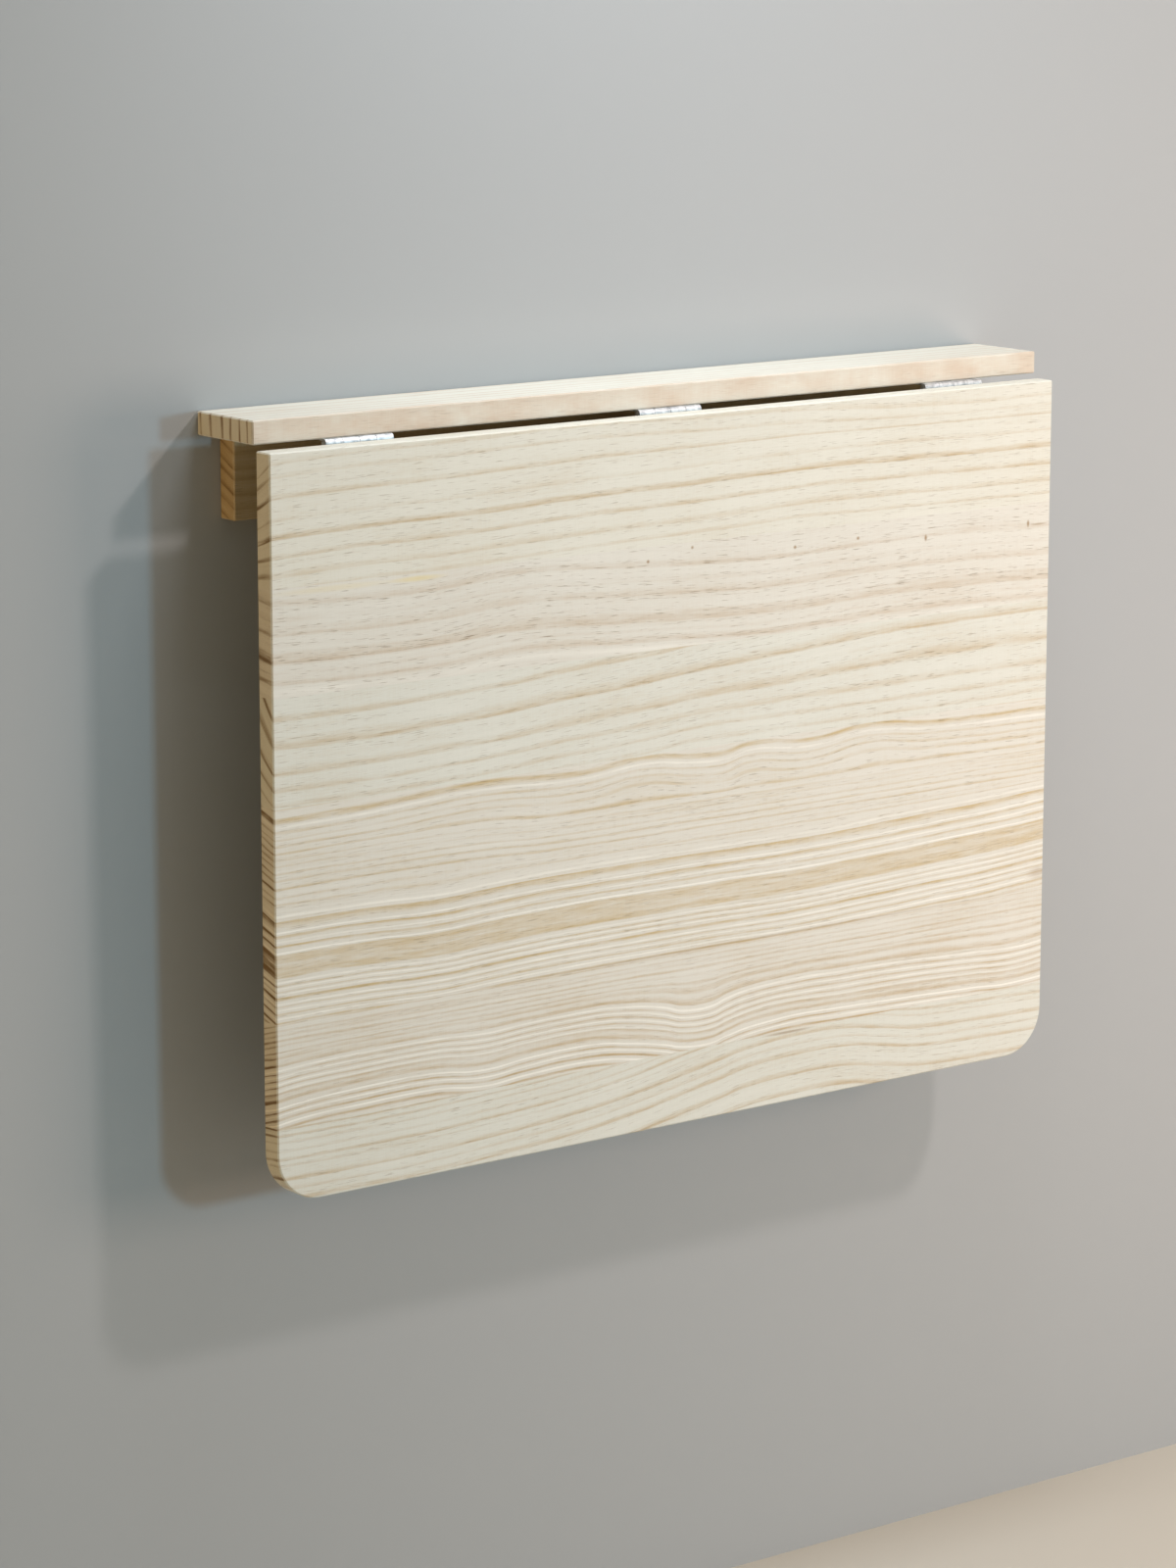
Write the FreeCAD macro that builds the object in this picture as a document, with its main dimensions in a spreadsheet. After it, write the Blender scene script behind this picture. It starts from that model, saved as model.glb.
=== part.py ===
import FreeCAD, Part
import os
from math import radians
import Sketcher

# A wall mounted drop leaf table, in millimetres.
# The origin lies on the wall, in the middle of the upper line of wall screws.
# +X runs along the wall to the right, +Y into the wall, +Z up. The leaf hangs down and the
# prop frame that carries it when it is raised lies flat against the wall behind it.

SIZES = (
    ("table_width", 600, "width of the fixed rail board and of the leaf"),
    ("rail_depth", 58, "how far the fixed rail board stands out from the wall"),
    ("board_thickness", 14, "thickness of the rail, the leaf and both battens"),
    ("leaf_length", 442, "leaf, from its hinged edge to its free edge"),
    ("corner_radius", 30, "rounded free corners of the leaf"),
    ("edge_chamfer", 0.8, "sanded edges of every board"),
    ("joint_gap", 1, "gap beside a hinge pin when both boards lie flat"),
    ("second_stave_width", 63.6, "second stave of the leaf, counted from its hinged edge"),
    ("third_stave_width", 64.4, "third stave of the leaf"),
    ("fourth_stave_width", 127.5, "fourth stave of the leaf"),
    ("fifth_stave_width", 62.5, "fifth stave of the leaf"),
    ("free_stave_width", 46, "last stave, at the leaf's free edge; the first takes the rest"),
    ("batten_inset", 15.5, "end of the rail board to the end of the upper wall batten"),
    ("batten_height", 50, "height of the upper wall batten"),
    ("lower_batten_width", 460, "width of the lower wall batten"),
    ("lower_batten_height", 50, "height of the lower wall batten"),
    ("lower_batten_drop", 112, "upper screw line down to the lower batten's bottom edge"),
    ("wall_stile_width", 40, "width of the two stiles between the wall battens"),
    ("wall_screw_spacing", 406.4, "wall screws, centre to centre, the usual stud spacing"),
    ("wall_hole_radius", 2.75, "clearance hole for a 5 mm wall screw"),
    ("wall_head_radius", 5.5, "countersink for the head of a wall screw"),
    ("countersink_angle", 90, "included angle of every countersink"),
    ("prop_width", 380, "width of the prop frame"),
    ("prop_thickness", 12, "thickness of the prop frame"),
    ("prop_length", 295, "prop frame, from its pin to the nose of its bar"),
    ("prop_rail_height", 40, "height of the hinged rail of the prop frame"),
    ("prop_stile_width", 40, "width of each stile of the prop frame"),
    ("prop_bar_height", 30, "height of the bar that carries the leaf"),
    ("seat_gap", 0.3, "free space where the bar meets the raised leaf"),
    ("hinge_length", 47.3, "length of a hinge along its pin"),
    ("hinge_plate_width", 15, "pin axis to the outer edge of a hinge plate"),
    ("plate_thickness", 1.2, "steel strip of the hinges"),
    ("pin_radius", 1.25, "hinge pin"),
    ("pin_clearance", 0.05, "running clearance round a hinge pin"),
    ("knuckle_clearance", 0.3, "gap between two neighbouring knuckles"),
    ("notch_clearance", 0.5, "gap between a knuckle and the plate that faces it"),
    ("seam_angle", 20, "where the rolled strip ends, above the plane of the pin"),
    ("table_hinge_inset", 72, "end of the table to the middle of an outer hinge"),
    ("prop_hinge_spacing", 220, "prop hinges, centre to centre"),
    ("screw_radius", 1.5, "hinge screw, over its thread"),
    ("screw_head_radius", 2.6, "hinge screw head"),
    ("screw_length", 12, "hinge screw, over all"),
    ("screw_spread", 30, "the two screws of a plate, centre to centre"),
    ("screw_offset", 9.5, "pin axis to the screws of a plate"),
    ("hole_clearance", 0.15, "radial clearance round a screw in a hinge plate"),
    ("catch_width", 40, "width of a catch block"),
    ("catch_spacing", 240, "catch blocks, centre to centre"),
    ("catch_height", 7, "how far a catch block stands off the leaf"),
    ("catch_length", 24, "catch block, along the leaf"),
    ("catch_lip_height", 3, "upright lip that the bar rests against"),
    ("catch_ramp_length", 5.9, "ramp that guides the bar over the lip"),
    ("catch_clearance", 0.35, "free space between the bar and the lip"),
    ("dowel_radius", 3, "dowels between the rail board and its batten"),
    ("dowel_clearance", 0.05, "radial clearance and glue space round a dowel"),
    ("batten_dowel_length", 24, "those dowels, over all"),
    ("batten_dowel_bite", 10, "how much of that dowel is in the rail board"),
    ("batten_dowel_pitch", 240, "those dowels, centre to centre"),
    ("tenon_width", 26, "tenon of a stile, across the stile"),
    ("tenon_thickness", 5, "tenon of a stile, through the thickness"),
    ("tenon_length", 15, "how far a tenon reaches into its mortise"),
    ("tenon_clearance", 0.1, "glue space round a tenon and under it"),
)

NONE = "0"
HINGE_SIDES = {"left": -1, "middle": 0, "right": 1}
PROP_SIDES = {"left": -1, "right": 1}
BATTEN_DOWEL_STEPS = (-1, 0, 1)
PAIR = (-0.5, 0.5)
STAVE_WIDTHS_FROM_FREE_EDGE = (
    "Sizes.free_stave_width", "Sizes.fifth_stave_width", "Sizes.fourth_stave_width",
    "Sizes.third_stave_width", "Sizes.second_stave_width",
)

# Sizes that follow from the sheet, as expressions
KNUCKLE = "(Sizes.pin_radius + Sizes.pin_clearance + Sizes.plate_thickness)"
BORE = "(Sizes.pin_radius + Sizes.pin_clearance)"
UNDERSIDE = "(Sizes.batten_height / 2)"
LEAF_PIN_Y = "(-Sizes.rail_depth - Sizes.joint_gap / 2)"
LEAF_PIN_Z = f"({UNDERSIDE} - {KNUCKLE})"
LEAF_BACK = f"({LEAF_PIN_Y} - {KNUCKLE})"
LEAF_TOP = f"({LEAF_PIN_Z} - Sizes.joint_gap / 2)"
PROP_PIN_Y = f"(-Sizes.board_thickness - {KNUCKLE})"
PROP_PIN_Z = "(-Sizes.lower_batten_drop - Sizes.joint_gap / 2)"
PROP_BACK = "(Sizes.prop_thickness - Sizes.board_thickness)"
PROP_RAIL_BOTTOM = f"({PROP_PIN_Z} - Sizes.joint_gap / 2 - Sizes.prop_rail_height)"
BAR_BOTTOM = f"({PROP_PIN_Z} - Sizes.prop_length)"
BAR_TOP = f"({BAR_BOTTOM} + Sizes.prop_bar_height)"
NOSE = "(Sizes.prop_thickness / 2)"
NOSE_RISE = f"({UNDERSIDE} - Sizes.seat_gap - {NOSE} - {PROP_PIN_Z})"
NOSE_SWING = f"((Sizes.prop_length - {NOSE})^2 + ({KNUCKLE} + {NOSE})^2)"
NOSE_REACH = f"(sqrt({NOSE_SWING} - {NOSE_RISE}^2) - {PROP_PIN_Y} + {LEAF_PIN_Y})"
CATCH_Z = f"({LEAF_PIN_Z} - {NOSE_REACH} - {NOSE} - Sizes.catch_clearance)"
HEAD_HOLE = "(Sizes.screw_head_radius + Sizes.hole_clearance)"

# Turns from a hinge plate's own frame: pin along X, plate towards +Y, back of the plate up
UPRIGHT = FreeCAD.Rotation()
FACING_WALL = FreeCAD.Rotation(FreeCAD.Vector(0, 1, -1), 180)
ABOVE_PIN = FreeCAD.Rotation(FreeCAD.Vector(0, 1, 1), 180)
BELOW_PIN = FreeCAD.Rotation(FreeCAD.Vector(1, 0, 0), -90)
LYING = FreeCAD.Rotation(FreeCAD.Vector(0, 1, 0), 90)

doc = FreeCAD.newDocument("drop_leaf_table")
sheet = doc.addObject("Spreadsheet::Sheet", "Sizes")
for row, (alias, size, note) in enumerate(SIZES, start=1):
    sheet.set(f"A{row}", note)
    sheet.set(f"B{row}", str(size))
    sheet.setAlias(f"B{row}", alias)
doc.recompute()

parts = []


def value(expression):
    """The number that an expression on the sheet gives."""
    return float(sheet.evalExpression(expression))


def new_body(name, keep=True):
    """A body labelled with its part's name; a pattern that is only copied is not kept."""
    body = doc.addObject("PartDesign::Body", name)
    body.Label = name
    if keep:
        parts.append(body)
    return body


def place(thing, x, y, z, turn=UPRIGHT):
    """Put a part or a copy at a point given by three expressions, with a fixed turn."""
    thing.Placement = FreeCAD.Placement(FreeCAD.Vector(), turn)
    for axis, expression in zip("xyz", (x, y, z)):
        thing.setExpression(f".Placement.Base.{axis}", expression)


def new_sketch(body, plane, name, offset=NONE):
    """A sketch on an origin plane of its own body, moved along the plane's normal."""
    sketch = body.newObject("Sketcher::SketchObject", f"{body.Name}_{name}")
    sketch.AttachmentSupport = [
        (feature, "") for feature in body.Origin.OriginFeatures if feature.Role == plane
    ]
    sketch.MapMode = "FlatFace"
    if offset != NONE:
        sketch.setExpression(".AttachmentOffset.Base.z", offset)
    return sketch


def pin_down(sketch, geometry, point, x, y):
    """Hold a sketch point at two expressions, measured from the sketch's origin."""
    for kind, expression, axis in (("DistanceX", x, -2), ("DistanceY", y, -1)):
        if expression == NONE:
            sketch.addConstraint(Sketcher.Constraint("PointOnObject", geometry, point, axis))
        else:
            number = sketch.addConstraint(
                Sketcher.Constraint(kind, -1, 1, geometry, point, value(expression))
            )
            sketch.setExpression(f"Constraints[{number}]", expression)


def pin_height(sketch, geometry, point, y):
    """Hold only the height of a sketch point at an expression."""
    number = sketch.addConstraint(
        Sketcher.Constraint("DistanceY", -1, 1, geometry, point, value(y))
    )
    sketch.setExpression(f"Constraints[{number}]", y)


def join_ends(sketch, ends):
    """Close a chain of edges: ends lists (edge, end point, next edge, its start point)."""
    for first, last_point, second, first_point in ends:
        sketch.addConstraint(
            Sketcher.Constraint("Coincident", first, last_point, second, first_point)
        )


def draw_outline(sketch, corners):
    """A closed outline of straight edges through corners given as pairs of expressions."""
    points = [FreeCAD.Vector(value(x), value(y), 0) for x, y in corners]
    edges = [
        sketch.addGeometry(Part.LineSegment(here, there), False)
        for here, there in zip(points, points[1:] + points[:1])
    ]
    followers = edges[1:] + edges[:1]
    join_ends(sketch, [(edge, 2, follower, 1) for edge, follower in zip(edges, followers)])
    for edge, (x, y) in zip(edges, corners):
        pin_down(sketch, edge, 1, x, y)


def draw_circles(sketch, centres, radius):
    """Equal circles at centres given as pairs of expressions."""
    up = FreeCAD.Vector(0, 0, 1)
    for x, y in centres:
        centre = FreeCAD.Vector(value(x), value(y), 0)
        circle = sketch.addGeometry(Part.Circle(centre, up, value(radius)), False)
        pin_down(sketch, circle, 3, x, y)
        number = sketch.addConstraint(Sketcher.Constraint("Radius", circle, value(radius)))
        sketch.setExpression(f"Constraints[{number}]", radius)


def pad(body, sketch, length):
    """Push a sketch out along its normal."""
    feature = body.newObject("PartDesign::Pad", f"{sketch.Name}_pad")
    feature.Profile = sketch
    feature.setExpression("Length", length)
    sketch.Visibility = False
    doc.recompute()
    return feature


def pocket(body, sketch, length, along_normal=False):
    """Cut a sketch into the body, and make sure that it did cut."""
    before = body.Shape.Volume
    feature = body.newObject("PartDesign::Pocket", f"{sketch.Name}_cut")
    feature.Profile = sketch
    feature.setExpression("Length", length)
    feature.Reversed = along_normal
    doc.recompute()
    if not body.Shape.Volume < before:
        raise RuntimeError(f"{feature.Name} cuts nothing")
    return feature


def ease_edges(body, chosen):
    """Sand the edges whose middle passes the test called chosen."""
    base = body.Tip
    names = [
        f"Edge{number}"
        for number, edge in enumerate(base.Shape.Edges, start=1)
        if chosen(edge.CenterOfMass)
    ]
    feature = body.newObject("PartDesign::Chamfer", f"{body.Name}_eased")
    feature.Base = (base, names)
    feature.setExpression("Size", "Sizes.edge_chamfer")
    doc.recompute()
    return feature


def board(name, width, height, depth, x, y, z):
    """A board drawn in front view on the wall plane and padded away from the wall."""
    body = new_body(name)
    sketch = new_sketch(body, "XZ_Plane", "face")
    left, right = f"-{width} / 2", f"{width} / 2"
    draw_outline(sketch, [(left, NONE), (right, NONE), (right, height), (left, height)])
    pad(body, sketch, depth)
    place(body, x, y, z)
    return body


def drill(body, plane, offset, centres, depth, radius, along_normal=False):
    """Blind holes of one size, drilled from a level above one of the body's planes."""
    sketch = new_sketch(body, plane, f"drill_{len(body.Group)}", offset)
    draw_circles(sketch, centres, radius)
    return pocket(body, sketch, depth, along_normal)


def countersink(body, plane, offset, centres, hole_radius, head_radius):
    """Countersunk holes right through the body."""
    sketch = new_sketch(body, plane, f"screw_holes_{len(body.Group)}", offset)
    draw_circles(sketch, centres, hole_radius)
    doc.recompute()
    before = body.Shape.Volume
    feature = body.newObject("PartDesign::Hole", f"{sketch.Name}_hole")
    feature.Profile = sketch
    feature.Threaded = False
    feature.DepthType = "ThroughAll"
    feature.setExpression("Diameter", f"2 * {hole_radius}")
    feature.HoleCutType = "Countersink"
    feature.setExpression("HoleCutDiameter", f"2 * {head_radius}")
    feature.setExpression("HoleCutCountersinkAngle", "Sizes.countersink_angle")
    doc.recompute()
    if not body.Shape.Volume < before:
        raise RuntimeError(f"{feature.Name} cuts nothing")
    return feature


def hinge_screw_places(spacing, sides):
    """Where the screws of a row of hinges stand, along X."""
    return [
        f"({side} * {spacing} + {half} * Sizes.screw_spread)"
        for side in sides
        for half in PAIR
    ]


TABLE_HINGE_X = "(Sizes.table_width / 2 - Sizes.table_hinge_inset)"
TABLE_SCREWS = hinge_screw_places(TABLE_HINGE_X, HINGE_SIDES.values())
PROP_SCREWS = hinge_screw_places("Sizes.prop_hinge_spacing / 2", PROP_SIDES.values())
WALL_SCREWS = [f"({half} * Sizes.wall_screw_spacing)" for half in PAIR]
BATTEN_DOWELS = [f"({step} * Sizes.batten_dowel_pitch)" for step in BATTEN_DOWEL_STEPS]
STILE_X = "((Sizes.prop_width - Sizes.prop_stile_width) / 2)"
WALL_STILE_X = "((Sizes.lower_batten_width - Sizes.wall_stile_width) / 2)"
LOWER_TOP = "(Sizes.lower_batten_height - Sizes.lower_batten_drop)"
MORTISE_DEPTH = "(Sizes.tenon_length + Sizes.tenon_clearance)"
DOWEL_HOLE = "(Sizes.dowel_radius + Sizes.dowel_clearance)"


def mortises(body, offset, middle, thickness, along_normal=False):
    """A pair of mortises, left and right, in one long edge of a cross piece."""
    sketch = new_sketch(body, "XY_Plane", "mortises", offset)
    half_width = "(Sizes.tenon_width / 2 + Sizes.tenon_clearance)"
    half_depth = "(Sizes.tenon_thickness / 2 + Sizes.tenon_clearance)"
    near, far = f"-{thickness} / 2 - {half_depth}", f"-{thickness} / 2 + {half_depth}"
    for side in ("-", ""):
        left, right = f"{side}{middle} - {half_width}", f"{side}{middle} + {half_width}"
        draw_outline(sketch, [(left, near), (right, near), (right, far), (left, far)])
    pocket(body, sketch, MORTISE_DEPTH, along_normal)


def stile(name, width, height, thickness, x, y, z):
    """An upright between two cross pieces, with a tenon at each end."""
    body = board(name, width, height, thickness, x, y, z)
    flat = value("Sizes.edge_chamfer")
    ease_edges(body, lambda middle: flat < middle.z < value(height) - flat)
    offset = f"({thickness} - Sizes.tenon_thickness) / 2"
    sketch = new_sketch(body, "XZ_Plane", "tenons", offset)
    left, right = "-Sizes.tenon_width / 2", "Sizes.tenon_width / 2"
    low, high = "-Sizes.tenon_length", f"{height} + Sizes.tenon_length"
    draw_outline(sketch, [(left, low), (right, low), (right, high), (left, high)])
    pad(body, sketch, "Sizes.tenon_thickness")


def rail_board():
    """The fixed board, with blind dowel holes in its underside."""
    body = board(
        "rail_board", "Sizes.table_width", "Sizes.board_thickness", "Sizes.rail_depth",
        NONE, NONE, UNDERSIDE,
    )
    ease_edges(body, lambda middle: True)
    dowels = [(x, "-Sizes.board_thickness / 2") for x in BATTEN_DOWELS]
    depth = "(Sizes.batten_dowel_bite + Sizes.dowel_clearance)"
    drill(body, "XY_Plane", NONE, dowels, depth, DOWEL_HOLE, along_normal=True)


def wall_screw_holes(body, height):
    """Two countersunk holes through a batten, half way up it."""
    centres = [(x, f"{height} / 2") for x in WALL_SCREWS]
    countersink(
        body, "XZ_Plane", "Sizes.board_thickness", centres,
        "Sizes.wall_hole_radius", "Sizes.wall_head_radius",
    )


def wall_batten():
    """The upper batten: carries the rail board on glued dowels and is screwed to the wall."""
    body = board(
        "wall_batten", "(Sizes.table_width - 2 * Sizes.batten_inset)", "Sizes.batten_height",
        "Sizes.board_thickness", NONE, NONE, f"-{UNDERSIDE}",
    )
    ease_edges(body, lambda middle: middle.y < -value("Sizes.board_thickness") / 4)
    wall_screw_holes(body, "Sizes.batten_height")
    dowels = [(x, "-Sizes.board_thickness / 2") for x in BATTEN_DOWELS]
    depth = "(Sizes.batten_dowel_length - Sizes.batten_dowel_bite + Sizes.dowel_clearance)"
    drill(body, "XY_Plane", "Sizes.batten_height", dowels, depth, DOWEL_HOLE)
    mortises(body, NONE, WALL_STILE_X, "Sizes.board_thickness", along_normal=True)


def wall_stile(side, step):
    """A short upright that joins the two battens into one wall frame."""
    stile(
        f"{side}_wall_stile", "Sizes.wall_stile_width", f"(-{UNDERSIDE} - {LOWER_TOP})",
        "Sizes.board_thickness", f"{step} * {WALL_STILE_X}", NONE, LOWER_TOP,
    )


def lower_batten():
    """The lower batten, from which the prop frame hangs."""
    body = board(
        "lower_batten", "Sizes.lower_batten_width", "Sizes.lower_batten_height",
        "Sizes.board_thickness", NONE, NONE, "-Sizes.lower_batten_drop",
    )
    ease_edges(body, lambda middle: middle.y < -value("Sizes.board_thickness") / 4)
    wall_screw_holes(body, "Sizes.lower_batten_height")
    mortises(body, "Sizes.lower_batten_height", WALL_STILE_X, "Sizes.board_thickness")


def leaf_stave(number, upper, lower):
    """One of the boards that are glued edge to edge into the leaf."""
    return board(
        f"leaf_stave_{number}", "Sizes.table_width", f"({lower} - {upper})",
        "Sizes.board_thickness", NONE, LEAF_BACK, f"({LEAF_TOP} - {lower})",
    )


def round_free_corners(stave):
    """The two rounded corners of the leaf's free edge."""
    base = stave.Tip
    names = [
        f"Edge{number}"
        for number, edge in enumerate(base.Shape.Edges, start=1)
        if edge.BoundBox.YLength > value("Sizes.board_thickness") / 2
        and edge.CenterOfMass.z < value("Sizes.edge_chamfer")
    ]
    feature = stave.newObject("PartDesign::Fillet", "free_corners")
    feature.Base = (base, names)
    feature.setExpression("Radius", "Sizes.corner_radius")
    doc.recompute()


def leaf():
    """Six staves whose glued edges stay sharp; the last one has the rounded corners."""
    lines = ["Sizes.leaf_length"]
    for width in STAVE_WIDTHS_FROM_FREE_EDGE:
        lines.insert(0, f"({lines[0]} - {width})")
    lines.insert(0, NONE)
    hinged, *inner, free = [
        leaf_stave(number, upper, lower)
        for number, (upper, lower) in enumerate(zip(lines, lines[1:]), start=1)
    ]
    flat = value("Sizes.edge_chamfer")
    round_free_corners(free)
    ease_edges(hinged, lambda middle: middle.z > flat)
    for stave in inner:
        height = stave.Shape.BoundBox.ZLength
        ease_edges(stave, lambda middle: flat < middle.z < height - flat)
    glued = value("Sizes.free_stave_width")
    ease_edges(free, lambda middle: middle.z < glued - flat)


def strip_profile(sketch):
    """A steel strip, flat from its outer edge to above the pin and then rolled round it."""
    up = FreeCAD.Vector(0, 0, 1)
    centre = FreeCAD.Vector()
    wide, outer, inner = (value(size) for size in ("Sizes.hinge_plate_width", KNUCKLE, BORE))
    start = radians(90)
    end = radians(360) + radians(value("Sizes.seam_angle"))
    outer_arc = Part.ArcOfCircle(Part.Circle(centre, up, outer), start, end)
    inner_arc = Part.ArcOfCircle(Part.Circle(centre, up, inner), start, end)
    low, high = FreeCAD.Vector(wide, inner, 0), FreeCAD.Vector(wide, outer, 0)
    edges = (
        Part.LineSegment(low, high),
        Part.LineSegment(high, outer_arc.StartPoint),
        outer_arc,
        Part.LineSegment(outer_arc.EndPoint, inner_arc.EndPoint),
        inner_arc,
        Part.LineSegment(inner_arc.StartPoint, low),
    )
    edge, face, roll, seam, bore, inside = [sketch.addGeometry(item, False) for item in edges]
    join_ends(sketch, (
        (edge, 2, face, 1), (face, 2, roll, 1), (roll, 2, seam, 1),
        (seam, 2, bore, 2), (bore, 1, inside, 1), (inside, 2, edge, 1),
        (roll, 3, -1, 1), (bore, 3, -1, 1),
    ))
    pin_down(sketch, edge, 1, "Sizes.hinge_plate_width", BORE)
    pin_down(sketch, edge, 2, "Sizes.hinge_plate_width", KNUCKLE)
    pin_down(sketch, face, 2, NONE, KNUCKLE)
    pin_down(sketch, inside, 1, NONE, BORE)
    pin_height(sketch, seam, 1, f"{KNUCKLE} * sin(Sizes.seam_angle)")
    pin_height(sketch, seam, 2, f"{BORE} * sin(Sizes.seam_angle)")


def hinge_plate(name, x, y, z, turn):
    """Half of a butt hinge: a rolled strip with its second and fourth knuckles cut away."""
    body = new_body(name)
    profile = new_sketch(body, "YZ_Plane", "strip", "-Sizes.hinge_length / 2")
    strip_profile(profile)
    pad(body, profile, "Sizes.hinge_length")
    notches = new_sketch(body, "XY_Plane", "notches", f"2 * {KNUCKLE}")
    far_y = f"({KNUCKLE} + Sizes.notch_clearance)"
    near_y = f"(-2 * {KNUCKLE})"
    half_gap = "Sizes.knuckle_clearance / 2"
    ends = (
        (f"(-Sizes.hinge_length / 4 - {half_gap})", f"({half_gap})"),
        (f"(Sizes.hinge_length / 4 - {half_gap})", "(Sizes.hinge_length)"),
    )
    for left, right in ends:
        corners = [(left, near_y), (right, near_y), (right, far_y), (left, far_y)]
        draw_outline(notches, corners)
    pocket(body, notches, f"4 * {KNUCKLE}")
    screws = [(f"({half} * Sizes.screw_spread)", "Sizes.screw_offset") for half in PAIR]
    heads = new_sketch(body, "XY_Plane", "heads", BORE)
    draw_circles(heads, screws, HEAD_HOLE)
    cone = pocket(body, heads, "Sizes.plate_thickness", along_normal=True)
    cone.setExpression("TaperAngle", "-Sizes.countersink_angle / 2")
    place(body, x, y, z, turn)


def hinge_pin(name, x, y, z):
    """The wire pin, as long as the hinge."""
    pin = doc.addObject("Part::Cylinder", name)
    pin.Label = name
    pin.setExpression("Radius", "Sizes.pin_radius")
    pin.setExpression("Height", "Sizes.hinge_length")
    place(pin, f"{x} - Sizes.hinge_length / 2", y, z, LYING)
    parts.append(pin)


def table_hinges():
    """Three hinges under the joint between the rail board and the leaf."""
    for side, step in HINGE_SIDES.items():
        x = f"({step} * {TABLE_HINGE_X})"
        hinge_plate(f"{side}_hinge_rail_plate", x, LEAF_PIN_Y, LEAF_PIN_Z, UPRIGHT)
        hinge_plate(f"{side}_hinge_leaf_plate", x, LEAF_PIN_Y, LEAF_PIN_Z, FACING_WALL)
        hinge_pin(f"{side}_hinge_pin", x, LEAF_PIN_Y, LEAF_PIN_Z)


def prop_hinges():
    """Two hinges between the lower batten and the prop frame."""
    for side, step in PROP_SIDES.items():
        x = f"({step} * Sizes.prop_hinge_spacing / 2)"
        hinge_plate(f"{side}_prop_hinge_batten_plate", x, PROP_PIN_Y, PROP_PIN_Z, ABOVE_PIN)
        hinge_plate(f"{side}_prop_hinge_frame_plate", x, PROP_PIN_Y, PROP_PIN_Z, BELOW_PIN)
        hinge_pin(f"{side}_prop_hinge_pin", x, PROP_PIN_Y, PROP_PIN_Z)


def prop_rail():
    """The hinged top rail of the prop frame."""
    body = board(
        "prop_rail", "Sizes.prop_width", "Sizes.prop_rail_height", "Sizes.prop_thickness",
        NONE, PROP_BACK, PROP_RAIL_BOTTOM,
    )
    flat = value("Sizes.edge_chamfer")
    ease_edges(body, lambda middle: middle.z > flat)
    mortises(body, NONE, STILE_X, "Sizes.prop_thickness", along_normal=True)


def prop_stile(side, step):
    """One upright of the prop frame."""
    stile(
        f"{side}_prop_stile", "Sizes.prop_stile_width", f"({PROP_RAIL_BOTTOM} - {BAR_TOP})",
        "Sizes.prop_thickness", f"{step} * {STILE_X}", PROP_BACK, BAR_TOP,
    )


def bar_profile(sketch):
    """Side view of the bar: square at the stiles, fully rounded at the nose."""
    thick, tall, nose = (
        value(size) for size in ("Sizes.prop_thickness", "Sizes.prop_bar_height", NOSE)
    )
    back_low, back_top = FreeCAD.Vector(0, nose, 0), FreeCAD.Vector(0, tall, 0)
    front_top, front_low = FreeCAD.Vector(-thick, tall, 0), FreeCAD.Vector(-thick, nose, 0)
    circle = Part.Circle(FreeCAD.Vector(-thick / 2, nose, 0), FreeCAD.Vector(0, 0, 1), nose)
    edges = (
        Part.LineSegment(back_low, back_top),
        Part.LineSegment(back_top, front_top),
        Part.LineSegment(front_top, front_low),
        Part.ArcOfCircle(circle, radians(180), radians(360)),
    )
    back, top, front, round_nose = [sketch.addGeometry(item, False) for item in edges]
    join_ends(sketch, (
        (back, 2, top, 1), (top, 2, front, 1), (front, 2, round_nose, 1),
        (round_nose, 2, back, 1),
    ))
    pin_down(sketch, back, 1, NONE, NOSE)
    pin_down(sketch, top, 1, NONE, "Sizes.prop_bar_height")
    pin_down(sketch, front, 1, "-Sizes.prop_thickness", "Sizes.prop_bar_height")
    pin_down(sketch, front, 2, "-Sizes.prop_thickness", NOSE)
    pin_height(sketch, round_nose, 3, NOSE)


def support_bar():
    """The bar of the prop frame that the raised leaf rests on."""
    body = new_body("support_bar")
    sketch = new_sketch(body, "YZ_Plane", "side", "-Sizes.prop_width / 2")
    bar_profile(sketch)
    pad(body, sketch, "Sizes.prop_width")
    mortises(body, "Sizes.prop_bar_height", STILE_X, "Sizes.prop_thickness")
    place(body, NONE, PROP_BACK, BAR_BOTTOM)


def catch_block(side, step):
    """A block glued to the leaf's back, with a lip that the bar drops behind."""
    body = new_body(f"{side}_catch")
    sketch = new_sketch(body, "YZ_Plane", "side", "-Sizes.catch_width / 2")
    draw_outline(sketch, [
        (NONE, NONE),
        ("Sizes.catch_lip_height", NONE),
        ("Sizes.catch_height", "-Sizes.catch_ramp_length"),
        ("Sizes.catch_height", "-Sizes.catch_length"),
        (NONE, "-Sizes.catch_length"),
    ])
    pad(body, sketch, "Sizes.catch_width")
    place(body, f"{step} * Sizes.catch_spacing / 2", LEAF_BACK, CATCH_Z)


def screw_pattern(name, length):
    """A countersunk wood screw with a plain shank: head at the origin, point up."""
    body = new_body(name, keep=False)
    sketch = new_sketch(body, "XZ_Plane", "half")
    head = "Sizes.screw_head_radius"
    shank = "Sizes.screw_radius"
    cone = f"({head} - {shank}) / tan(Sizes.countersink_angle / 2)"
    draw_outline(sketch, [
        (NONE, NONE), (head, NONE), (shank, cone), (shank, length), (NONE, length),
    ])
    turned = body.newObject("PartDesign::Revolution", f"{name}_turned")
    turned.Profile = sketch
    turned.ReferenceAxis = (sketch, ["V_Axis"])
    doc.recompute()
    return body


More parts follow.
